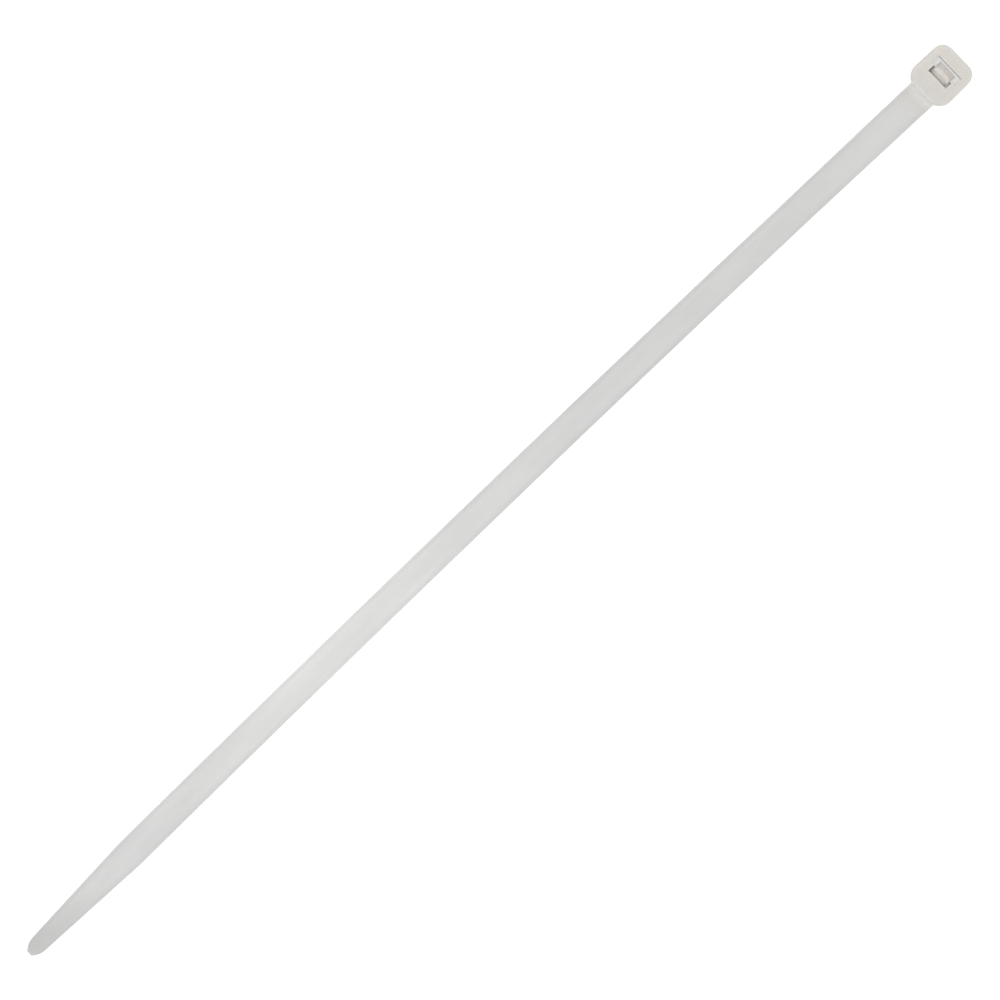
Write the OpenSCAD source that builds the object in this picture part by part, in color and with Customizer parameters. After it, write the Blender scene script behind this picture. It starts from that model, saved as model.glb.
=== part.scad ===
// A one-piece nylon cable tie, lying with its teeth down and its smooth face up.
// X runs along the strap towards the head, Y across it and Z up from the surface it lies on.
// The origin is where the middle of the strap passage through the head meets that surface.

/* [Strap] */
// Length of the whole tie, from its tip to the far end of the head
tie_length = 200; // [160:1:240]
// Width of the strap along its teeth
strap_w = 4.65; // [4.4:0.05:4.8]
// Thickness of the strap
strap_t = 1.2; // [1.1:0.05:1.3]
// Width of the strap where it meets the head
neck_w = 4.9; // [4.85:0.05:5.2]
// Length over which the strap widens to meet the head
neck_length = 28; // [16:1:40]
// Rounding of the two long edges of the smooth face
edge_r = 0.22; // [0.1:0.02:0.3]
// Sideways bow at the middle of the strap, as it keeps it from its bag
bow = 0.75; // [0:0.05:1.5]

/* [Teeth] */
// Distance from one tooth to the next
tooth_pitch = 1.1; // [1:0.05:1.3]
// Depth of a tooth
tooth_depth = 0.42; // [0.3:0.02:0.5]
// Width of the toothed band between the two rails
band_w = 3.4; // [3.35:0.05:3.6]
// Depth of the tooth crests below the rails
crest_recess = 0.06; // [0.02:0.02:0.1]
// Smooth length between the head and the first tooth
first_tooth = 10; // [6:1:16]
// Smooth length between the tip and the last tooth
last_tooth = 26; // [24:1:40]

/* [Tail] */
// Length of the tail, over which the strap narrows
tail_length = 22; // [16:1:24]
// Width of the tail behind its pointed end
tail_w = 2.8; // [2.4:0.1:3.2]
// Radius of the two arcs of the pointed end
point_r = 3.2; // [2.8:0.1:4]
// Width of the blunt end of the point
blunt_w = 0.9; // [0.6:0.1:1.2]
// Thickness of the tail at its tip
tip_t = 0.8; // [0.6:0.05:1]
// Height to which the tip curls up
tip_rise = 2; // [0:0.1:4]
// Length of the tail that curls up
curl_length = 24; // [16:1:40]
// Number of grip grooves across the underside of the tail
grip_count = 9; // [3:1:10]
// Distance from one grip groove to the next
grip_pitch = 1.6; // [1.2:0.1:1.7]
// Depth of a grip groove
grip_depth = 0.2; // [0.1:0.02:0.3]

/* [Head] */
// Height of the head
head_h = 5.3; // [5.2:0.1:6]
// Width of the head on its strap side
head_w = 7.84; // [7.6:0.02:8.2]
// Width of the head on its far side
far_w = 7.66; // [7.4:0.02:7.8]
// Length of the head from the middle of its passage to its far end
far_length = 3; // [2.7:0.05:3.4]
// Length of the head from the middle of its passage to the wall that the strap leaves
near_length = 5.37; // [5.2:0.01:5.8]
// Radius of the two upright corners on the strap side
near_r = 2.54; // [2.3:0.02:2.7]
// Radius of the two upright corners on the far side
far_r = 1.85; // [1.6:0.05:2.1]
// Sink of the flat walls between the corners, from the nylon's shrinkage
wall_sink = 0.02; // [0.01:0.01:0.05]
// Lean of the outer walls, which lets the head leave its mould
draft = 1.5; // [0.5:0.5:2]
// Rounding of the top edge
top_r = 0.55; // [0.3:0.05:0.7]
// Chamfer of the bottom edge
base_chamfer = 0.2; // [0.1:0.05:0.3]
// Radius that blends the sides of the strap into the head
neck_r = 0.3; // [0.2:0.05:0.4]
// Radius that blends the smooth face of the strap into the head
rise_r = 0.8; // [0.3:0.1:0.9]

/* [Passage and pawl] */
// Clearance of the strap in the passage, across its thickness
thick_clearance = 0.2; // [0.15:0.05:0.3]
// Clearance of the strap in the passage, across its width
width_clearance = 0.35; // [0.3:0.05:0.5]
// Size of the lead-in where the tip enters
lead_in = 0.45; // [0.3:0.05:0.5]
// Depth of the pocket that the pawl stands in, from the passage to the wall that it grows from
pocket = 1.37; // [1.3:0.01:1.5]
// Height of the sill in front of the pawl
sill_h = 0.6; // [0.4:0.05:0.7]
// Height of the hinge of the pawl
hinge_z = 1; // [0.9:0.05:1.1]
// Thickness of the hinge
hinge_t = 0.6; // [0.45:0.05:0.7]
// Width of the pawl
pawl_w = 3.2; // [3:0.05:3.25]
// Length of the pawl above the bottom of its hinge
pawl_length = 4.2; // [3.9:0.05:4.25]
// Thickness of the pawl with its teeth
pawl_t = 1.7; // [1.6:0.05:1.8]
// Thickness of the free end of the pawl
pawl_tip_t = 1.5; // [1.3:0.05:1.55]
// Number of teeth on the pawl
pawl_teeth = 3; // [2:1:3]
// Gap between the pawl and the slide wall when no strap is in
rest_gap = 0.5; // [0.4:0.05:0.6]
// Gap along each side of the pawl
slit_w = 0.35; // [0.3:0.05:0.4]

/* [Hidden] */

nylon = [0.9, 0.9, 0.87];
round_fn = 96;
past = 1;

// Places along the strap
tip_x = far_length - tie_length;
near_wall_x = -near_length;
curl_x = tip_x + curl_length;
strap_root_x = near_wall_x + near_r / 2;

// The pointed end is two arcs, each centred across the axis from its own side
arc_offset = point_r - tail_w / 2;
point_length = sqrt(pow(point_r, 2) - pow(blunt_w / 2 + arc_offset, 2));
point_angle = asin(point_length / point_r);

// Corner posts of the head, each as its x, y and radius, counter-clockwise
near_post = [near_r - near_length, head_w / 2 - near_r, near_r];
far_post = [far_length - far_r, far_w / 2 - far_r, far_r];
function mirrored(p) = [p.x, -p.y, p.z];
posts = [mirrored(near_post), mirrored(far_post), far_post, near_post];

// The blend on each side of the neck touches the strap at one end and a corner post at the other
blend_rise = neck_w / 2 + neck_r - near_post.y;
blend_run = sqrt(pow(near_r + neck_r, 2) - pow(blend_rise, 2));
blend_x = near_post.x - blend_run;
blend_end_x = near_post.x - blend_run * near_r / (near_r + neck_r);
rise_x = near_wall_x - rise_r;

// Strap passage
passage_t = strap_t + thick_clearance;
passage_w = strap_w + width_clearance;
slide_wall_x = passage_t / 2;
shoulder_x = -passage_t / 2;
hinge_wall_x = shoulder_x - pocket;
window_w = pawl_w + 2 * slit_w;

// The pawl leans over its hinge until its crests stand at the rest gap
pawl_reach = slide_wall_x - rest_gap - hinge_wall_x;
pawl_diagonal = norm([pawl_t, pawl_length]);
pawl_lean = asin(pawl_reach / pawl_diagonal) - atan2(pawl_t, pawl_length);
pawl_root_t = pawl_t - tooth_depth;

function mix(a, b, t) = a + (b - a) * t;
function clamp(t) = min(max(t, 0), 1);

// Rise of a round blend of radius r that starts at x0
function blend(x, x0, r) = r - sqrt(max(pow(r, 2) - pow(clamp((x - x0) / r) * r, 2), 0));

// Half width of the strap at x
function point_half(x) =
    sqrt(pow(point_r, 2) - pow(point_length - (x - tip_x), 2)) - arc_offset;
function tail_half(x) =
    mix(tail_w, strap_w, clamp((x - tip_x - point_length) / (tail_length - point_length))) / 2;
function neck_half(x) =
    (neck_w - strap_w) / 2 * clamp((x - near_wall_x + neck_length) / neck_length);
function half_width(x) =
    x < tip_x + point_length
        ? point_half(x)
        : tail_half(x) + neck_half(x) + blend(min(x, blend_end_x), blend_x, neck_r);

// Sideways place of the strap's middle line at x, and the height of its two faces
function middle_y(x) =
    let (t = clamp((x - tip_x) / (near_wall_x - tip_x)))
    4 * bow * t * (1 - t);
function under_z(x) = tip_rise * pow(1 - clamp((x - tip_x) / curl_length), 2);
function over_z(x) =
    under_z(x)
    + mix(tip_t, strap_t, clamp((x - tip_x) / tail_length))
    + blend(min(x, near_wall_x), rise_x, rise_r);

// Cross-section of the strap at x, with its two smooth-face edges rounded
function section(x) =
    let (
        w = half_width(x),
        over = over_z(x),
        under = under_z(x),
        edge = [for (a = [0:30:90]) [w - edge_r + edge_r * cos(a), over - edge_r + edge_r * sin(a)]],
        outline = concat([[w, under]], edge)
    )
    [for (p = concat(outline, [for (i = [len(outline) - 1:-1:0]) [-outline[i].x, outline[i].y]]))
        [x, middle_y(x) + p.x, p.y]];

// Where the strap's cross-sections stand: close together only where its shape changes
function spread(a, b, count) = [for (i = [0:count - 1]) mix(a, b, i / count)];
stations = concat(
    [for (i = [0:5]) tip_x + point_length - point_r * sin(point_angle * (1 - i / 6))],
    spread(tip_x + point_length, tip_x + tail_length, 8),
    spread(tip_x + tail_length, near_wall_x - neck_length, 12),
    spread(near_wall_x - neck_length, rise_x, 3),
    spread(rise_x, blend_end_x, 8),
    [blend_end_x, strap_root_x]
);

// Skin over a row of rings that have the same number of points
module skin(rings) {
    n = len(rings[0]);
    last = len(rings) - 1;
    sides = [for (i = [0:last - 1], j = [0:n - 1])
        let (a = i * n + j, b = i * n + (j + 1) % n)
        each [[a, a + n, b], [b, a + n, b + n]]];
    ends = [[for (j = [0:n - 1]) j], [for (j = [n - 1:-1:0]) last * n + j]];
    polyhedron(points = [for (ring = rings) each ring], faces = concat(sides, ends));
}

// Everything in a stretch of the toothed band that lies below its saw-tooth line
module tooth_gaps() {
    start_x = near_wall_x - first_tooth;
    count = floor((start_x - tip_x - last_tooth) / tooth_pitch);
    end_x = start_x - count * tooth_pitch;
    crest_z = crest_recess;
    root_z = crest_z + tooth_depth;
    lean = tooth_depth / 5;
    land = tooth_depth / 4;
    saw = [for (i = [0:count - 1])
        let (x = start_x - i * tooth_pitch)
        each [[x, root_z], [x - lean, crest_z], [x - lean - land, crest_z]]];
    edge_x = concat(spread(start_x + past, end_x, 12), [end_x]);
    intersection() {
        translate([0, strap_w, 0])
            rotate([90, 0, 0])
                linear_extrude(2 * strap_w)
                    polygon(concat([[start_x, -past]], saw, [[end_x, root_z], [end_x, -past]]));
        translate([0, 0, -past])
            linear_extrude(2 * past + strap_t)
                polygon(concat(
                    [for (x = edge_x) [x, middle_y(x) + band_w / 2]],
                    [for (i = [len(edge_x) - 1:-1:0]) [edge_x[i], middle_y(edge_x[i]) - band_w / 2]]
                ));
    }
}

// Half-round grooves across the underside of the tail
module grip_grooves() {
    groove_r = grip_pitch / 4;
    for (i = [1:grip_count]) {
        x = tip_x + point_length + i * grip_pitch;
        translate([x, 0, under_z(x) + grip_depth - groove_r])
            rotate([90, 0, 0])
                cylinder(r = groove_r, h = 2 * strap_w, center = true, $fn = 32);
    }
}

module strap() {
    difference() {
        skin([for (x = stations) section(x)]);
        tooth_gaps();
        grip_grooves();
    }
}

// Section of the head's outer wall, r away from the line it is drawn from
module wall_profile(r, inner = 0) {
    rim_r = r - head_h * tan(draft);
    polygon([
        [inner, 0],
        [r - base_chamfer, 0],
        [r, base_chamfer],
        [rim_r, head_h - top_r],
        [rim_r - top_r, head_h],
        [inner, head_h]
    ]);
    translate([rim_r - top_r, head_h - top_r])
        circle(r = top_r, $fn = round_fn);
}

module post(p) {
    translate([p.x, p.y, 0])
        rotate_extrude($fn = round_fn)
            wall_profile(p.z);
}

// Flat wall from post a to post b, with the outside on the right, sunk a little between them
module wall(a, b) {
    way = [b.x - a.x, b.y - a.y];
    turn = acos((a.z - b.z) / norm(way));
    run = norm(way) * sin(turn);
    translate([a.x, a.y, 0])
        rotate(atan2(way.y, way.x) - turn)
            translate([0, run, 0])
                rotate([90, 0, 0])
                    linear_extrude(run)
                        wall_profile(a.z - wall_sink, inner = -near_r / 2);
}

module head_block() {
    for (i = [0:len(posts) - 1]) {
        post(posts[i]);
        wall(posts[i], posts[(i + 1) % len(posts)]);
    }
    linear_extrude(head_h)
        polygon([for (p = posts) [p.x, p.y]]);
}

// Slot that the strap is pulled through, wider where the tip goes in
module passage() {
    translate([0, passage_w / 2, 0])
        rotate([90, 0, 0])
            linear_extrude(passage_w)
                polygon([
                    [shoulder_x - lead_in, -past],
                    [slide_wall_x + lead_in, -past],
                    [slide_wall_x + lead_in, 0],
                    [slide_wall_x, 2 * lead_in],
                    [slide_wall_x, head_h + past],
                    [shoulder_x, head_h + past],
                    [shoulder_x, 2 * lead_in],
                    [shoulder_x - lead_in, 0]
                ]);
}

// Window that the pawl stands in
module pawl_window() {
    translate([hinge_wall_x, -window_w / 2, sill_h])
        cube([slide_wall_x - hinge_wall_x, window_w, head_h]);
}

// Pawl drawn upright from its hinge, with its crests towards the slide wall
module pawl_profile() {
    crest = [for (i = [0:pawl_teeth - 1]) pawl_length - (pawl_teeth - 1 - i) * tooth_pitch];
    teeth = [for (z = crest)
        each [
            [pawl_root_t, z - tooth_pitch + tooth_depth / 5],
            [pawl_t, z - tooth_depth / 4],
            [pawl_t, z]
        ]];
    polygon(concat(
        [[-hinge_t, 0], [0, 0]],
        teeth,
        [[pawl_t - pawl_tip_t, pawl_length], [0, 2 * hinge_t], [0, hinge_t], [-hinge_t, hinge_t]]
    ));
}

module pawl() {
    translate([hinge_wall_x, pawl_w / 2, hinge_z])
        rotate([90, 0, 0])
            linear_extrude(pawl_w)
                rotate(-pawl_lean)
                    pawl_profile();
}

module cable_tie() {
    color(nylon) {
        strap();
        difference() {
            head_block();
            passage();
            pawl_window();
        }
        pawl();
    }
}

cable_tie();
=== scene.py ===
# A cable tie of natural nylon, lying with its smooth face up on a white table
import math

import bmesh
import bpy
from mathutils import Matrix, Vector


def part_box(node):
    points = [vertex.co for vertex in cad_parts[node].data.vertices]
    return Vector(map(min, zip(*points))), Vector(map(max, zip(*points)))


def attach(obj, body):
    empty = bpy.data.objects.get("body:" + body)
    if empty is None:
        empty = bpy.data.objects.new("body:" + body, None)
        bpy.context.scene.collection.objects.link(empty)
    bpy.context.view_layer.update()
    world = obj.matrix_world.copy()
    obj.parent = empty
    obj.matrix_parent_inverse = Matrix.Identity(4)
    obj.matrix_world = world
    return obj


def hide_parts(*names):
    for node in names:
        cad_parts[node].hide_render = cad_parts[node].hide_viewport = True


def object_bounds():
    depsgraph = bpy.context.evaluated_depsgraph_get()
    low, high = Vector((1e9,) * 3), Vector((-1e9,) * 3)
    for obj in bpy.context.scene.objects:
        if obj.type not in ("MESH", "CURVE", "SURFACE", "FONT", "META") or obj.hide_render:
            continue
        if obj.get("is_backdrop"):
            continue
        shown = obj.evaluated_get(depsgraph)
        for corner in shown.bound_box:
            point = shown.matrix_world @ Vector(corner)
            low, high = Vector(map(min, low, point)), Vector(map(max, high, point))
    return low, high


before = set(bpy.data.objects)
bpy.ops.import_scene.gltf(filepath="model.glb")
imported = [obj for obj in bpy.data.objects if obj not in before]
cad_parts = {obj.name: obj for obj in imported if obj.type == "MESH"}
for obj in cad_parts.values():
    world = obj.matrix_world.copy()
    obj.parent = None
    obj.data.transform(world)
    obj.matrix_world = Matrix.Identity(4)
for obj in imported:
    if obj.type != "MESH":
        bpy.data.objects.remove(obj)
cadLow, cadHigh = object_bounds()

# The frame is in metres. The tie is modelled in millimetres and brought down at the end.
mm = 0.001
tieLow, tieHigh = [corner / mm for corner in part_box("cable_tie")]
tipX = tieLow.x
farX = tieHigh.x
headTop = tieHigh.z
touch = 0.001  # points nearer than this are one

strap = {
    "width": 4.65,
    "thickness": 1.2,
    "bow": 0.75,
    "neckWidth": 4.9,
    "neckLength": 28.0,
    "smoothEdge": 0.22,  # rounding of the two edges of the smooth face
    "smoothSteps": 5,
    "railEdge": 0.12,  # rounding of the two edges of the toothed side
    "railSteps": 3,
    "railFlat": 0.12,  # least flat left on a rail
    "lineStep": 1.0,  # distance between cross-lines on the smooth length at the head
    "leastStep": 0.02,  # cross-lines closer than this are left out
}

teeth = {
    "pitch": 1.1,
    "depth": 0.42,
    "bandWidth": 3.4,
    "crestRecess": 0.06,
    "fromHead": 10.0,
    "fromTip": 26.0,
    "lean": 0.084,  # run of a tooth's steep side
    "land": 0.105,  # flat left on its crest
    "railDraft": 0.04,
    "endRun": 0.03,  # run of the wall at each end of the band
}

tail = {
    "length": 22.0,
    "width": 2.8,
    "pointRadius": 3.2,
    "pointSteps": 9,
    "bluntWidth": 0.9,
    "tipThickness": 0.8,
    "rise": 2.0,
    "curlLength": 24.0,
    "grooves": 9,
    "groovePitch": 1.6,
    "grooveRadius": 0.4,
    "grooveDepth": 0.2,
    # Cross-lines over a groove, as shares of half its width
    "grooveLines": (-1.0, -0.75, -0.4, 0.0, 0.4, 0.75, 1.0),
    "lineStep": 0.8,  # distance between cross-lines along the curl
}

head = {
    "nearX": -5.37,
    "nearWidth": 7.84,
    "farWidth": 7.66,
    "nearRound": 2.54,
    "farRound": 1.85,
    "draft": 1.5,
    "topRound": 0.55,
    "baseRound": 0.2,
    "nearSegments": 14,
    "farSegments": 12,
    "topSegments": 7,
    "baseSegments": 3,
    "neckBlend": 0.3,  # where the sides of the strap run into the head
    "neckSteps": 5,
    "riseBlend": 0.8,  # where the smooth face runs up the head's wall
    "riseSteps": 6,
}


def mix(a, b, t):
    return a + (b - a) * t


def clamp(t):
    return min(max(t, 0.0), 1.0)


# Angles of a quarter turn, in even steps
def quarterTurn(steps):
    return [math.radians(90 * i / steps) for i in range(steps + 1)]


# Height of a round blend that starts at start and has reached its radius one radius further on
def blendRise(x, start, radius):
    along = clamp((x - start) / radius) * radius
    return radius - math.sqrt(radius**2 - along**2)


# Outline of the strap

arcOffset = tail["pointRadius"] - tail["width"] / 2
pointLength = math.sqrt(tail["pointRadius"] ** 2 - (tail["bluntWidth"] / 2 + arcOffset) ** 2)
nearPostX = head["nearX"] + head["nearRound"]
nearPostY = head["nearWidth"] / 2 - head["nearRound"]
blendRun = math.sqrt(
    (head["nearRound"] + head["neckBlend"]) ** 2
    - (strap["neckWidth"] / 2 + head["neckBlend"] - nearPostY) ** 2
)
blendStart = nearPostX - blendRun
blendEnd = nearPostX - blendRun * head["nearRound"] / (head["nearRound"] + head["neckBlend"])
riseStart = head["nearX"] - head["riseBlend"]
strapRoot = head["nearX"] + head["nearRound"] / 2


def halfWidth(x):
    fromTip = x - tipX
    if fromTip < pointLength:
        return math.sqrt(tail["pointRadius"] ** 2 - (pointLength - fromTip) ** 2) - arcOffset
    taper = clamp((fromTip - pointLength) / (tail["length"] - pointLength))
    widening = clamp((x - head["nearX"] + strap["neckLength"]) / strap["neckLength"])
    neck = (strap["neckWidth"] - strap["width"]) / 2 * widening
    return mix(tail["width"], strap["width"], taper) / 2 + neck + blendRise(
        min(x, blendEnd), blendStart, head["neckBlend"]
    )


def middleY(x):
    t = clamp((x - tipX) / (head["nearX"] - tipX))
    return 4 * strap["bow"] * t * (1 - t)


def undersideZ(x):
    return tail["rise"] * (1 - clamp((x - tipX) / tail["curlLength"])) ** 2


def smoothFaceZ(x):
    thickness = mix(tail["tipThickness"], strap["thickness"], clamp((x - tipX) / tail["length"]))
    return undersideZ(x) + thickness + blendRise(min(x, head["nearX"]), riseStart, head["riseBlend"])


# Teeth and grip grooves, as heights above the underside

firstTooth = head["nearX"] - teeth["fromHead"]
toothCount = math.floor((firstTooth - tipX - teeth["fromTip"]) / teeth["pitch"])
lastTooth = firstTooth - toothCount * teeth["pitch"]
toothRoot = teeth["crestRecess"] + teeth["depth"]
grooveCentre = tail["grooveRadius"] - tail["grooveDepth"]
grooveReach = math.sqrt(tail["grooveRadius"] ** 2 - grooveCentre**2)
grooves = [tipX + pointLength + i * tail["groovePitch"] for i in range(1, tail["grooves"] + 1)]


def bandHeight(x):
    if x > firstTooth or x < lastTooth:
        return 0.0
    behind = (firstTooth - x) % teeth["pitch"]
    if behind < teeth["lean"]:
        return mix(toothRoot, teeth["crestRecess"], behind / teeth["lean"])
    slope = teeth["pitch"] - teeth["lean"] - teeth["land"]
    ramp = clamp((behind - teeth["lean"] - teeth["land"]) / slope)
    return mix(teeth["crestRecess"], toothRoot, ramp)


def grooveHeight(x):
    off = min(abs(x - middle) for middle in grooves)
    if off >= grooveReach:
        return 0.0
    radius = tail["grooveRadius"]
    return math.sqrt(radius**2 - off**2) - radius + tail["grooveDepth"]


# Cross-lines stand close together only where the outline, the curl or the teeth need them
def crossLines():
    lines = [tipX + pointLength * (1 - math.cos(turn)) for turn in quarterTurn(tail["pointSteps"])]
    curlCount = int((tail["curlLength"] - pointLength) / tail["lineStep"])
    lines += [tipX + pointLength + tail["lineStep"] * i for i in range(1, curlCount + 1)]
    for middle in grooves:
        lines += [middle + grooveReach * share for share in tail["grooveLines"]]
    for i in range(toothCount):
        front = firstTooth - i * teeth["pitch"]
        lines += [front, front - teeth["lean"], front - teeth["lean"] - teeth["land"]]
    lines += [firstTooth + teeth["endRun"], lastTooth, lastTooth - teeth["endRun"]]
    plainCount = int((head["nearX"] - firstTooth - strap["lineStep"]) / strap["lineStep"])
    lines += [firstTooth + strap["lineStep"] * i for i in range(1, plainCount)]
    rise = quarterTurn(head["riseSteps"])
    lines += [mix(riseStart, head["nearX"], math.sin(turn)) for turn in rise]
    steps = head["neckSteps"]
    lines += [mix(blendStart, blendEnd, i / steps) for i in range(steps + 1)]
    lines.append(strapRoot)
    lines = sorted(lines)
    kept = [lines[0]]
    for x in lines[1:]:
        if x - kept[-1] > strap["leastStep"]:
            kept.append(x)
    return kept


# Section of the strap at x: the band between its rails below, rounded edges, the smooth face above
def strapSection(x):
    half = halfWidth(x)
    below = undersideZ(x) + grooveHeight(x)
    above = smoothFaceZ(x)
    toothed = below + bandHeight(x)
    band = min(teeth["bandWidth"] / 2, half - strap["railEdge"] - strap["railFlat"])
    right = [(0.0, toothed), (band - teeth["railDraft"], toothed), (band, below)]
    for turn in reversed(quarterTurn(strap["railSteps"])):
        inset = strap["railEdge"] * (1 - math.cos(turn))
        right.append((half - inset, below + strap["railEdge"] * (1 - math.sin(turn))))
    for turn in quarterTurn(strap["smoothSteps"]):
        inset = strap["smoothEdge"] * (1 - math.cos(turn))
        right.append((half - inset, above - strap["smoothEdge"] * (1 - math.sin(turn))))
    right.append((0.0, above))
    left = [(-y, z) for y, z in right[-2:0:-1]]
    return right + left


def buildStrap():
    lines = crossLines()
    sections = [strapSection(x) for x in lines]
    around = len(sections[0])
    bm = bmesh.new()
    # A flat grid rolled up into the strap: one way along it, the other way round its section
    bmesh.ops.create_grid(bm, x_segments=len(lines) - 1, y_segments=around, size=1)
    for vert in bm.verts:
        i = round((vert.co.x + 1) / 2 * (len(lines) - 1))
        j = round((vert.co.y + 1) / 2 * around) % around
        y, z = sections[i][j]
        vert.co = (lines[i], middleY(lines[i]) + y, z)
    bmesh.ops.remove_doubles(bm, verts=bm.verts, dist=touch / 2)
    bmesh.ops.dissolve_degenerate(bm, edges=bm.edges, dist=touch / 2)
    ends = [edge for edge in bm.edges if edge.is_boundary]
    bmesh.ops.holes_fill(bm, edges=ends)
    bmesh.ops.recalc_face_normals(bm, faces=bm.faces)
    print("strap:", len(lines), "cross-lines,", toothCount, "teeth")
    return newObject("strapBlank", bm)


def newObject(name, bm):
    mesh = bpy.data.meshes.new(name)
    bm.to_mesh(mesh)
    bm.free()
    made = bpy.data.objects.new(name, mesh)
    bpy.context.collection.objects.link(made)
    return made


# Puts an object's modifiers into its mesh
def bake(made):
    graph = bpy.context.evaluated_depsgraph_get()
    result = bpy.data.meshes.new_from_object(made.evaluated_get(graph))
    made.modifiers.clear()
    made.data = result


def cut(made, tool, operation):
    modifier = made.modifiers.new(operation.lower(), "BOOLEAN")
    modifier.operation = operation
    modifier.solver = "EXACT"
    modifier.object = tool
    bake(made)
    bpy.data.objects.remove(tool)


def box(bm, low, high):
    made = bmesh.ops.create_cube(bm, size=1)["verts"]
    size = Vector(high) - Vector(low)
    middle = (Vector(high) + Vector(low)) / 2
    bmesh.ops.scale(bm, verts=made, vec=size)
    bmesh.ops.translate(bm, verts=made, vec=middle)
    return made


def roundEdges(bm, edges, radius, segments):
    bmesh.ops.bevel(
        bm,
        geom=edges,
        offset=radius,
        offset_type="OFFSET",
        affect="EDGES",
        segments=segments,
        profile=0.5,
        material=-1,
    )


def buildHeadBlock():
    bm = bmesh.new()
    inset = headTop * math.tan(math.radians(head["draft"]))
    farPostX = farX - head["farRound"]
    slope = (head["farWidth"] - head["nearWidth"]) / 2 / (farPostX - nearPostX)
    verts = box(bm, (head["nearX"], -1, 0), (farX, 1, headTop))
    for vert in verts:
        side = math.copysign(1, vert.co.y)
        end = -1 if vert.co.x < nearPostX else 1
        vert.co.y = side * (head["nearWidth"] / 2 + slope * (vert.co.x - nearPostX))
        if vert.co.z > headTop / 2:
            vert.co -= Vector((end * inset, side * inset, 0))
    upright = [e for e in bm.edges if abs(e.verts[0].co.z - e.verts[1].co.z) > headTop / 2]
    nearEdges = [e for e in upright if e.verts[0].co.x < nearPostX]
    farEdges = [e for e in upright if e.verts[0].co.x > nearPostX]
    roundEdges(bm, nearEdges, head["nearRound"], head["nearSegments"])
    roundEdges(bm, farEdges, head["farRound"], head["farSegments"])
    rim = [e for e in bm.edges if min(v.co.z for v in e.verts) > headTop - touch]
    roundEdges(bm, rim, head["topRound"], head["topSegments"])
    base = [e for e in bm.edges if max(v.co.z for v in e.verts) < touch]
    roundEdges(bm, base, head["baseRound"], head["baseSegments"])
    bmesh.ops.recalc_face_normals(bm, faces=bm.faces)
    print("head:", len(bm.faces), "faces before it is cut")
    return newObject("headBlank", bm)


passage = {
    "thickness": 1.4,
    "width": 5.0,
    "leadIn": 0.45,
    "leadHeight": 0.9,
    "pocketDepth": 1.37,  # from the passage back to the wall that the pawl grows from
    "pocketWidth": 3.9,
    "sillHeight": 0.6,
}


# The slot that the strap is pulled through, wider where the tip goes in
def buildPassage():
    bm = bmesh.new()
    halfThick = passage["thickness"] / 2
    halfWide = passage["width"] / 2
    lead = passage["leadHeight"]
    verts = box(bm, (-halfThick, -halfWide, -lead), (halfThick, halfWide, lead))
    for vert in verts:
        if vert.co.z < 0:
            vert.co.x += math.copysign(2 * passage["leadIn"], vert.co.x)
    top = [f for f in bm.faces if f.calc_center_median().z > lead - touch]
    raised = bmesh.ops.extrude_face_region(bm, geom=top)["geom"]
    bmesh.ops.delete(bm, geom=top, context="FACES")
    newVerts = [v for v in raised if isinstance(v, bmesh.types.BMVert)]
    bmesh.ops.translate(bm, verts=newVerts, vec=(0, 0, headTop))
    bmesh.ops.recalc_face_normals(bm, faces=bm.faces)
    return newObject("passageTool", bm)


# The window that the pawl stands in
def buildPocket():
    bm = bmesh.new()
    back = -passage["thickness"] / 2 - passage["pocketDepth"]
    halfWide = passage["pocketWidth"] / 2
    box(bm, (back, -halfWide, passage["sillHeight"]), (0, halfWide, headTop + 1))
    return newObject("pocketTool", bm)


pawl = {
    "width": 3.2,
    "length": 4.2,
    "thickness": 1.7,
    "tipThickness": 1.5,
    "hingeHeight": 1.0,
    "hingeThickness": 0.6,
    "teeth": 3,
    "restGap": 0.5,  # from its crests to the slide wall
}


# Profile of the pawl, upright over its hinge, with its crests towards the passage
def pawlProfile():
    root = pawl["thickness"] - teeth["depth"]
    length = pawl["length"]
    points = [(-pawl["hingeThickness"], 0.0), (0.0, 0.0)]
    for i in range(pawl["teeth"]):
        crest = length - (pawl["teeth"] - 1 - i) * teeth["pitch"]
        points += [
            (root, crest - teeth["pitch"] + teeth["lean"]),
            (pawl["thickness"], crest - teeth["land"]),
            (pawl["thickness"], crest),
        ]
    points += [
        (pawl["thickness"] - pawl["tipThickness"], length),
        (0.0, 2 * pawl["hingeThickness"]),
        (0.0, pawl["hingeThickness"]),
        (-pawl["hingeThickness"], pawl["hingeThickness"]),
    ]
    return points


# The pawl leans over its hinge until its crests stand at the rest gap
def buildPawl():
    hingeX = -passage["thickness"] / 2 - passage["pocketDepth"]
    reach = passage["thickness"] / 2 - pawl["restGap"] - hingeX
    diagonal = math.hypot(pawl["thickness"], pawl["length"])
    lean = math.asin(reach / diagonal) - math.atan2(pawl["thickness"], pawl["length"])
    bm = bmesh.new()
    outline = [bm.verts.new((x, -pawl["width"] / 2, z)) for x, z in pawlProfile()]
    side = bmesh.ops.contextual_create(bm, geom=outline)["faces"]
    grown = bmesh.ops.extrude_face_region(bm, geom=side)["geom"]
    newVerts = [v for v in grown if isinstance(v, bmesh.types.BMVert)]
    bmesh.ops.translate(bm, verts=newVerts, vec=(0, pawl["width"], 0))
    bmesh.ops.rotate(bm, verts=bm.verts, cent=(0, 0, 0), matrix=Matrix.Rotation(lean, 3, "Y"))
    bmesh.ops.translate(bm, verts=bm.verts, vec=(hingeX, 0, pawl["hingeHeight"]))
    bmesh.ops.recalc_face_normals(bm, faces=bm.faces)
    print("pawl: leans", round(math.degrees(lean), 2), "degrees")
    return newObject("pawlBlank", bm)


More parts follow.
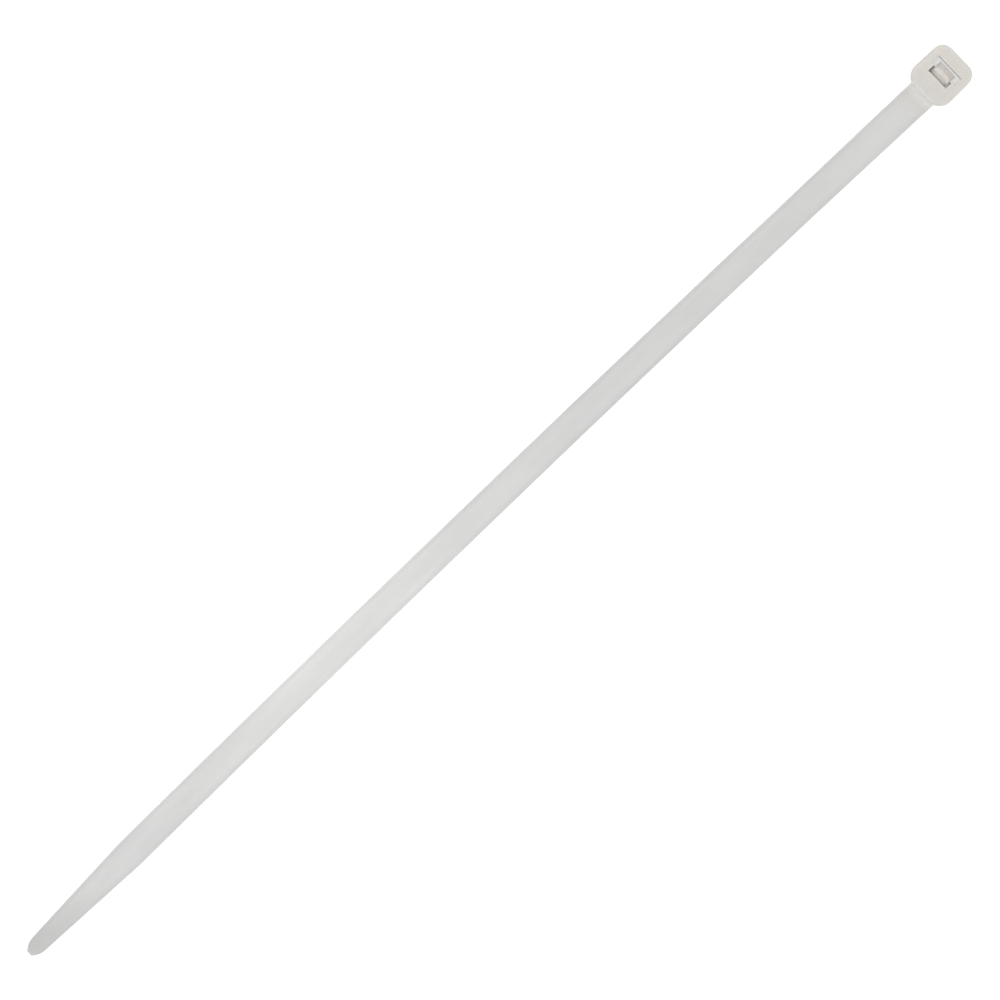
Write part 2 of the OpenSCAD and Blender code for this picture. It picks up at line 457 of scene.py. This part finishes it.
edgeFinish = {
    "soft": 0.05,  # rounding of the head's openings and of the pawl
    "softAngle": 50,
    "softSegments": 2,
    "sharpAngle": 38,
}


def softenEdges(made):
    soften = made.modifiers.new("softEdges", "BEVEL")
    soften.limit_method = "ANGLE"
    soften.angle_limit = math.radians(edgeFinish["softAngle"])
    soften.width = edgeFinish["soft"]
    soften.segments = edgeFinish["softSegments"]
    bake(made)


def buildTie():
    made = buildHeadBlock()
    cut(made, buildPassage(), "DIFFERENCE")
    cut(made, buildPocket(), "DIFFERENCE")
    softenEdges(made)
    lever = buildPawl()
    softenEdges(lever)
    cut(made, lever, "UNION")
    cut(made, buildStrap(), "UNION")
    bm = bmesh.new()
    bm.from_mesh(made.data)
    bmesh.ops.remove_doubles(bm, verts=bm.verts, dist=touch)
    bmesh.ops.scale(bm, verts=bm.verts, vec=(mm, mm, mm))
    bm.to_mesh(made.data)
    bm.free()
    made.name = made.data.name = "nylonTie"
    made.data.shade_smooth()
    made.data.set_sharp_from_angle(angle=math.radians(edgeFinish["sharpAngle"]))
    flatten = made.modifiers.new("flatFaces", "WEIGHTED_NORMAL")
    flatten.keep_sharp = True
    print("tie:", len(made.data.vertices), "vertices,", len(made.data.polygons), "faces")
    return made


# Material

nylonLook = {
    # Tone along the tie, by its distance from the tip in millimetres: painted shade darkens the curled
    # tip, the strap is palest about 62 mm from it, and the head is a little warmer
    "toneWithPaintedShade": [
        (0, (0.565, 0.565, 0.560)),
        (14, (0.680, 0.680, 0.676)),
        (30, (0.700, 0.700, 0.696)),
        (62, (0.758, 0.757, 0.748)),
        (120, (0.666, 0.666, 0.662)),
        (187, (0.668, 0.666, 0.660)),
        (195, (0.690, 0.666, 0.624)),
    ],
    # Half width of the strap, by the same distance
    "halfWidths": [
        (0, 0.6),
        (1.5, 1.3),
        (22, 2.325),
        (166, 2.325),
        (195, 2.5),
        (200, 2.5),
    ],
    # Painted shade darkens the strap's edges, where the rounded edges turn from the light, from this
    # share of its half width outwards
    "rimStart": 0.66,
    "rimPaintedShade": 0.87,
    "rimFade": 0.2,
    # Milky clouds and fine flow lines: features per metre, and the noise that turns into shade
    "cloudScale": (70, 420, 420),
    "cloudSpread": (0.35, 0.65),
    "cloudShade": 0.95,
    "streakScale": (160, 3600, 3600),
    "streakSpread": (0.35, 0.7),
    "streakShade": 0.975,
    # Hair scratches, only where the surface was rubbed
    "rubbedScale": (300, 500, 500),
    "rubbedSpread": (0.56, 0.68),
    "hairScale": (900, 9000, 9000),
    "hairSpread": (0.60, 0.66),
    "scuffShade": 1.05,
    "scuffDulling": 0.2,
    # Painted light inside the passage, palest behind the pawl, in millimetres from its middle
    "insidePaintedLight": 1.42,
    "insideTop": 4.85,
    "insideMargin": (0.06, 0.04),
    "fadeStart": -1.25,
    "fadeEnd": -0.9,
    "fadeRest": 0.45,
    # Painted light in the corner where the smooth face runs up the head's wall, lifting the shade
    # there, from the same middle
    "neckPaintedLight": 1.16,
    "neckStart": -6.8,
    "neckFull": -5.35,
    "neckEnd": -4.85,
    "neckBottom": (1.0, 1.15),
    # Satin gloss, from clear to cloudy
    "glossSpread": (0.3, 0.7),
    "roughness": (0.34, 0.46),
    "ior": 1.53,
    "scatterWeight": 0.9,
    "scatterColour": (1.0, 1.0, 0.97),
    "scatter": 0.6 * mm,
    "insideScatter": 2.0 * mm,
    "grainScale": (7000, 7000, 7000),
    "grain": 0.004 * mm,
    "streakRelief": 0.004 * mm,
    "scuffRelief": 0.004 * mm,
}


def addNode(tree, kind, x, y, **values):
    node = tree.nodes.new(kind)
    node.location = (x, y)
    for key, value in values.items():
        setattr(node, key, value)
    return node


# Noise in object space, with its three scales in features per metre
def addNoise(tree, place, scales, x, y, detail=3.0, roughness=0.5):
    stretch = addNode(tree, "ShaderNodeMapping", x, y)
    stretch.inputs["Scale"].default_value = scales
    noise = addNode(tree, "ShaderNodeTexNoise", x + 200, y)
    noise.inputs["Scale"].default_value = 1.0
    noise.inputs["Detail"].default_value = detail
    noise.inputs["Roughness"].default_value = roughness
    tree.links.new(place.outputs["Object"], stretch.inputs["Vector"])
    tree.links.new(stretch.outputs["Vector"], noise.inputs["Vector"])
    return noise.outputs["Fac"]


def addRange(tree, value, fromRange, toRange, x, y, blend="LINEAR"):
    node = addNode(tree, "ShaderNodeMapRange", x, y, interpolation_type=blend)
    tree.links.new(value, node.inputs["Value"])
    for name, number in zip(("From Min", "From Max", "To Min", "To Max"), (*fromRange, *toRange)):
        node.inputs[name].default_value = number
    return node.outputs["Result"]


# One behind the pawl, less in the rest of the passage, nought on the outside: where the passage gets
# painted light and wider scatter
def addInside(tree, split, x, y):
    back = passage["thickness"] / 2 + passage["pocketDepth"]
    middle = (passage["thickness"] / 2 - back) / 2
    marginX, marginY = nylonLook["insideMargin"]
    reaches = [
        ("X", middle, middle + back + marginX),
        ("Y", 0.0, passage["width"] / 2 + marginY),
        ("Z", 0.0, nylonLook["insideTop"]),
    ]
    found = None
    for i, (axis, centre, reach) in enumerate(reaches):
        near = addNode(tree, "ShaderNodeMath", x, y + 180 * i, operation="COMPARE")
        tree.links.new(split.outputs[axis], near.inputs[0])
        near.inputs[1].default_value = centre * mm
        near.inputs[2].default_value = reach * mm
        if found is None:
            found = near
            continue
        both = addNode(tree, "ShaderNodeMath", x + 200, y + 180 * i, operation="MULTIPLY")
        tree.links.new(found.outputs["Value"], both.inputs[0])
        tree.links.new(near.outputs["Value"], both.inputs[1])
        found = both
    deep = addNode(tree, "ShaderNodeMath", x + 400, y + 360, operation="MULTIPLY")
    tree.links.new(found.outputs["Value"], deep.inputs[0])
    fadeReach = [nylonLook["fadeStart"] * mm, nylonLook["fadeEnd"] * mm]
    fade = addRange(tree, split.outputs["X"], fadeReach, (1.0, nylonLook["fadeRest"]), x + 200, y + 540)
    tree.links.new(fade, deep.inputs[1])
    return deep.outputs["Value"]


# One in the corner where the strap's smooth face runs up the head's wall, nought elsewhere: where
# painted light lifts the shade
def addCorner(tree, split, x, y):
    start = nylonLook["neckStart"] * mm
    full = nylonLook["neckFull"] * mm
    end = nylonLook["neckEnd"] * mm
    bottom = [z * mm for z in nylonLook["neckBottom"]]
    rises = addRange(tree, split.outputs["X"], (start, full), (0.0, 1.0), x, y, blend="SMOOTHSTEP")
    falls = addRange(tree, split.outputs["X"], (full, end), (1.0, 0.0), x, y + 200)
    above = addRange(tree, split.outputs["Z"], bottom, (0.0, 1.0), x, y + 400)
    found = rises
    for i, share in enumerate((falls, above)):
        both = addNode(tree, "ShaderNodeMath", x + 200 + 200 * i, y + 200 * i, operation="MULTIPLY")
        tree.links.new(found, both.inputs[0])
        tree.links.new(share, both.inputs[1])
        found = both.outputs["Value"]
    return found


# Colours between stops, each at its distance from the tip
def addRamp(tree, value, stops, x, y):
    ramp = addNode(tree, "ShaderNodeValToRGB", x, y)
    elements = ramp.color_ramp.elements
    while len(elements) < len(stops):
        elements.new(1.0)
    for element, (fromTip, colour) in zip(elements, stops):
        element.position = fromTip / (farX - tipX)
        element.color = (*colour, 1)
    tree.links.new(value, ramp.inputs["Fac"])
    return ramp.outputs["Color"]


# Painted shade that falls off a little at the strap's long edges, where the rounded edges turn from the
# light, measured from its bowed middle line
def addRim(tree, split, along, x, y):
    def combine(operation, first, second, dx, dy):
        node = addNode(tree, "ShaderNodeMath", x + dx, y + dy, operation=operation)
        for socket, value in zip(node.inputs, (first, second)):
            if isinstance(value, (int, float)):
                socket.default_value = value
            elif value is not None:
                tree.links.new(value, socket)
        return node.outputs["Value"]

    t = addRange(tree, split.outputs["X"], (tipX * mm, head["nearX"] * mm), (0.0, 1.0), x, y)
    bow = combine("MULTIPLY", combine("SUBTRACT", 1.0, t, 200, 0), t, 400, 0)
    bow = combine("MULTIPLY", bow, 4 * strap["bow"] * mm, 600, 0)
    off = combine("ABSOLUTE", combine("SUBTRACT", split.outputs["Y"], bow, 800, 0), None, 1000, 0)
    # A ramp holds nothing above one, so the widths go in as shares of this one
    widest = 4.0
    widths = [(fromTip, [half / widest] * 3) for fromTip, half in nylonLook["halfWidths"]]
    half = addRamp(tree, along, widths, x + 600, y + 250)
    share = combine("DIVIDE", combine("DIVIDE", off, half, 1200, 0), widest * mm, 1400, 0)
    shades = (1.0, nylonLook["rimPaintedShade"])
    shade = addRange(tree, share, (nylonLook["rimStart"], 1.0), shades, x + 1600, y)
    # The head has no rim
    wall = (head["nearX"] * mm, (head["nearX"] + nylonLook["rimFade"]) * mm)
    inHead = addRange(tree, split.outputs["X"], wall, (0.0, 1.0), x + 1600, y + 250)
    return combine("MAXIMUM", shade, inHead, 1800, 0)


def addBump(tree, height, distance, below, x, y):
    node = addNode(tree, "ShaderNodeBump", x, y)
    node.inputs["Strength"].default_value = 1.0
    node.inputs["Distance"].default_value = distance
    tree.links.new(height, node.inputs["Height"])
    if below is not None:
        tree.links.new(below, node.inputs["Normal"])
    return node.outputs["Normal"]


def makeNylon():
    material = bpy.data.materials.new("naturalNylon")
    material.use_nodes = True
    tree = material.node_tree
    tree.nodes.clear()
    link = tree.links.new
    place = addNode(tree, "ShaderNodeTexCoord", -2000, 0)

    # Painted shade darkens the curled tail towards its tip, and the thick head is a little warmer
    split = addNode(tree, "ShaderNodeSeparateXYZ", -1700, 500)
    link(place.outputs["Object"], split.inputs["Vector"])
    along = addRange(tree, split.outputs["X"], (tipX * mm, farX * mm), (0.0, 1.0), -1500, 500)
    toneWithPaintedShade = addRamp(tree, along, nylonLook["toneWithPaintedShade"], -1250, 500)

    # Milky clouds and fine flow lines, drawn out along the strap as the mould filled
    clouds = addNoise(tree, place, nylonLook["cloudScale"], -1700, 150, detail=4)
    streaks = addNoise(tree, place, nylonLook["streakScale"], -1700, -150, detail=2)
    # A few rubbed places and fine hair scratches from lying loose among others
    rubbed = addNoise(tree, place, nylonLook["rubbedScale"], -1700, -450, detail=5, roughness=0.7)
    hairs = addNoise(tree, place, nylonLook["hairScale"], -1700, -750, detail=1)
    grain = addNoise(tree, place, nylonLook["grainScale"], -1700, -1050, detail=2)
    scuffs = addNode(tree, "ShaderNodeMath", -1000, -500, operation="MULTIPLY")
    link(addRange(tree, rubbed, nylonLook["rubbedSpread"], (0.0, 1.0), -1250, -450), scuffs.inputs[0])
    link(addRange(tree, hairs, nylonLook["hairSpread"], (0.0, 1.0), -1250, -750), scuffs.inputs[1])

    shade = addNode(tree, "ShaderNodeMath", -800, 150, operation="MULTIPLY")
    cloudy = (1.0, nylonLook["cloudShade"])
    link(addRange(tree, clouds, nylonLook["cloudSpread"], cloudy, -1250, 150), shade.inputs[0])
    streaky = (1.0, nylonLook["streakShade"])
    link(addRange(tree, streaks, nylonLook["streakSpread"], streaky, -1250, -150), shade.inputs[1])
    worn = addNode(tree, "ShaderNodeMath", -600, 50, operation="MULTIPLY")
    link(shade.outputs["Value"], worn.inputs[0])
    scuffed = (1.0, nylonLook["scuffShade"])
    link(addRange(tree, scuffs.outputs["Value"], (0.0, 1.0), scuffed, -800, -100), worn.inputs[1])
    rimmed = addNode(tree, "ShaderNodeMath", -500, 150, operation="MULTIPLY")
    link(worn.outputs["Value"], rimmed.inputs[0])
    link(addRim(tree, split, along, -1500, 1500), rimmed.inputs[1])

    # Painted light: a paler colour in the passage and in the corner at the neck stands in for light
    # that comes through the nylon and fills them
    inside = addInside(tree, split, -1400, 900)
    paler = addNode(tree, "ShaderNodeMath", -550, 400, operation="MULTIPLY")
    insideLightRange = (1.0, nylonLook["insidePaintedLight"])
    link(addRange(tree, inside, (0.0, 1.0), insideLightRange, -750, 700), paler.inputs[0])
    link(rimmed.outputs["Value"], paler.inputs[1])
    # Painted light lifts the shade in the corner beside the head's wall
    corner = addCorner(tree, split, -1400, 2000)
    filled = addNode(tree, "ShaderNodeMath", -450, 550, operation="MULTIPLY")
    cornerLightRange = (1.0, nylonLook["neckPaintedLight"])
    link(addRange(tree, corner, (0.0, 1.0), cornerLightRange, -750, 950), filled.inputs[0])
    link(paler.outputs["Value"], filled.inputs[1])
    tinted = addNode(tree, "ShaderNodeVectorMath", -350, 300, operation="SCALE")
    link(toneWithPaintedShade, tinted.inputs[0])
    link(filled.outputs["Value"], tinted.inputs["Scale"])

    # Satin from the mould, duller where it is cloudy or rubbed
    gloss = addRange(tree, clouds, nylonLook["glossSpread"], nylonLook["roughness"], -600, -250)
    dull = addNode(tree, "ShaderNodeMath", -350, -250, operation="MULTIPLY_ADD")
    link(scuffs.outputs["Value"], dull.inputs[0])
    dull.inputs[1].default_value = nylonLook["scuffDulling"]
    link(gloss, dull.inputs[2])

    normal = addBump(tree, grain, nylonLook["grain"], None, -600, -1050)
    normal = addBump(tree, streaks, nylonLook["streakRelief"], normal, -400, -850)
    normal = addBump(tree, scuffs.outputs["Value"], nylonLook["scuffRelief"], normal, -200, -650)

    shader = addNode(tree, "ShaderNodeBsdfPrincipled", 0, 0)
    shader.inputs["IOR"].default_value = nylonLook["ior"]
    shader.inputs["Subsurface Weight"].default_value = nylonLook["scatterWeight"]
    shader.inputs["Subsurface Radius"].default_value = nylonLook["scatterColour"]
    scatters = (nylonLook["scatter"], nylonLook["insideScatter"])
    link(addRange(tree, inside, (0.0, 1.0), scatters, -350, 700), shader.inputs["Subsurface Scale"])
    link(tinted.outputs["Vector"], shader.inputs["Base Color"])
    link(dull.outputs["Value"], shader.inputs["Roughness"])
    link(normal, shader.inputs["Normal"])

    out = addNode(tree, "ShaderNodeOutputMaterial", 300, 0)
    link(shader.outputs["BSDF"], out.inputs["Surface"])
    print("nylon:", len(tree.nodes), "nodes")
    return material


# Table, light and camera

view = {
    # Where the tip and the head's far end lie in the image, from its upper left corner
    "tipPixel": (29.4, 953.3),
    "farPixel": (960.2, 57.3),
    "imageSide": 1000,
    # Far off with a long lens, so that nothing is foreshortened
    "distance": 5.0,
    "reach": 20.0,
    "sensor": 36.0,
}

tableTop = {
    "side": 6.0,
    "colour": (0.9, 0.9, 0.9, 1),
    # Lifts the table to white, for the camera alone
    "glow": (1, 0.985, 0.96, 1),
    "glowStrength": 0.32,
}


def makeTable():
    bm = bmesh.new()
    bmesh.ops.create_grid(bm, x_segments=1, y_segments=1, size=tableTop["side"] / 2)
    table = newObject("tableTop", bm)
    material = bpy.data.materials.new("whiteTable")
    material.use_nodes = True
    tree = material.node_tree
    tree.nodes.clear()
    link = tree.links.new
    paper = addNode(tree, "ShaderNodeBsdfDiffuse", -200, 100)
    paper.inputs["Color"].default_value = tableTop["colour"]
    glow = addNode(tree, "ShaderNodeEmission", -200, -100)
    glow.inputs["Color"].default_value = tableTop["glow"]
    glow.inputs["Strength"].default_value = tableTop["glowStrength"]
    black = addNode(tree, "ShaderNodeEmission", -200, -250)
    black.inputs["Strength"].default_value = 0
    path = addNode(tree, "ShaderNodeLightPath", -400, 0)
    seen = addNode(tree, "ShaderNodeMixShader", 0, -100)
    both = addNode(tree, "ShaderNodeAddShader", 200, 0)
    out = addNode(tree, "ShaderNodeOutputMaterial", 400, 0)
    link(path.outputs["Is Camera Ray"], seen.inputs["Fac"])
    link(black.outputs["Emission"], seen.inputs[1])
    link(glow.outputs["Emission"], seen.inputs[2])
    link(paper.outputs["BSDF"], both.inputs[0])
    link(seen.outputs["Shader"], both.inputs[1])
    link(both.outputs["Shader"], out.inputs["Surface"])
    table.data.materials.append(material)
    table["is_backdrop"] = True
    print("table:", tableTop["side"], "m square")


lighting = {
    "room": 0.75,
    # A softbox right above the camera, so that it sees little shadow, even down in the passage
    "place": (-0.11, 0.0, 6.0),
    "target": (-0.11, 0.0, 0.0),
    "side": 0.5,
    "power": 115,
}


def addSoftbox():
    lamp = bpy.data.lights.new("overhead", "AREA")
    lamp.shape = "SQUARE"
    lamp.size = lighting["side"]
    lamp.energy = lighting["power"]
    made = bpy.data.objects.new("overhead", lamp)
    bpy.context.collection.objects.link(made)
    made.visible_glossy = False
    made.location = lighting["place"]
    beam = Vector(lighting["target"]) - Vector(lighting["place"])
    made.rotation_euler = beam.to_track_quat("-Z", "Y").to_euler()


# An even white room: full white where it is seen or mirrored, a little less as light
def makeLight():
    world = bpy.data.worlds.new("studio")
    world.use_nodes = True
    tree = world.node_tree
    sky = tree.nodes["Background"]
    sky.inputs["Color"].default_value = (1, 1, 1, 1)
    path = addNode(tree, "ShaderNodeLightPath", -900, 0)
    shown = path.outputs["Is Camera Ray"]
    for i, ray in enumerate(("Is Glossy Ray", "Is Transmission Ray")):
        either = addNode(tree, "ShaderNodeMath", -650 + 180 * i, 0, operation="MAXIMUM")
        tree.links.new(shown, either.inputs[0])
        tree.links.new(path.outputs[ray], either.inputs[1])
        shown = either.outputs["Value"]
    strength = addRange(tree, shown, (0.0, 1.0), (lighting["room"], 1.0), -250, 0)
    tree.links.new(strength, sky.inputs["Strength"])
    bpy.context.scene.world = world
    addSoftbox()
    print("light: room", lighting["room"], "and a softbox of", lighting["power"], "W")


# The camera looks straight down, turned so that the tie runs up to the right as in the photograph
def makeCamera():
    tip = Vector(view["tipPixel"])
    far = Vector(view["farPixel"])
    along = far - tip
    turn = math.atan2(-along.y, along.x)
    metresPerPixel = (farX - tipX) * mm / along.length
    middle = Vector((view["imageSide"] / 2, view["imageSide"] / 2)) - tip
    x = tipX * mm + metresPerPixel * middle.dot(along.normalized())
    across = Vector((along.y, -along.x)).normalized()
    y = metresPerPixel * middle.dot(across)
    lens = bpy.data.cameras.new("topView")
    lens.sensor_width = view["sensor"]
    lens.lens = view["sensor"] * view["distance"] / (metresPerPixel * view["imageSide"])
    lens.clip_end = view["reach"]
    made = bpy.data.objects.new("topView", lens)
    bpy.context.collection.objects.link(made)
    made.location = (x, y, view["distance"])
    made.rotation_euler = (0, 0, -turn)
    bpy.context.scene.camera = made
    print("camera over", round(x / mm, 2), round(y / mm, 2), "lens", round(lens.lens, 1))


def writeSizes():
    low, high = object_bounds()
    corners = (cadLow, cadHigh, low, high)
    print("sizes in mm:", [[round(c / mm, 2) for c in corner] for corner in corners])


bpy.context.scene.view_settings.view_transform = "Standard"
makeCamera()
makeTable()
makeLight()
tie = buildTie()
tie.data.materials.clear()
tie.data.materials.append(makeNylon())
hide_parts("cable_tie")
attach(tie, "root")
writeSizes()
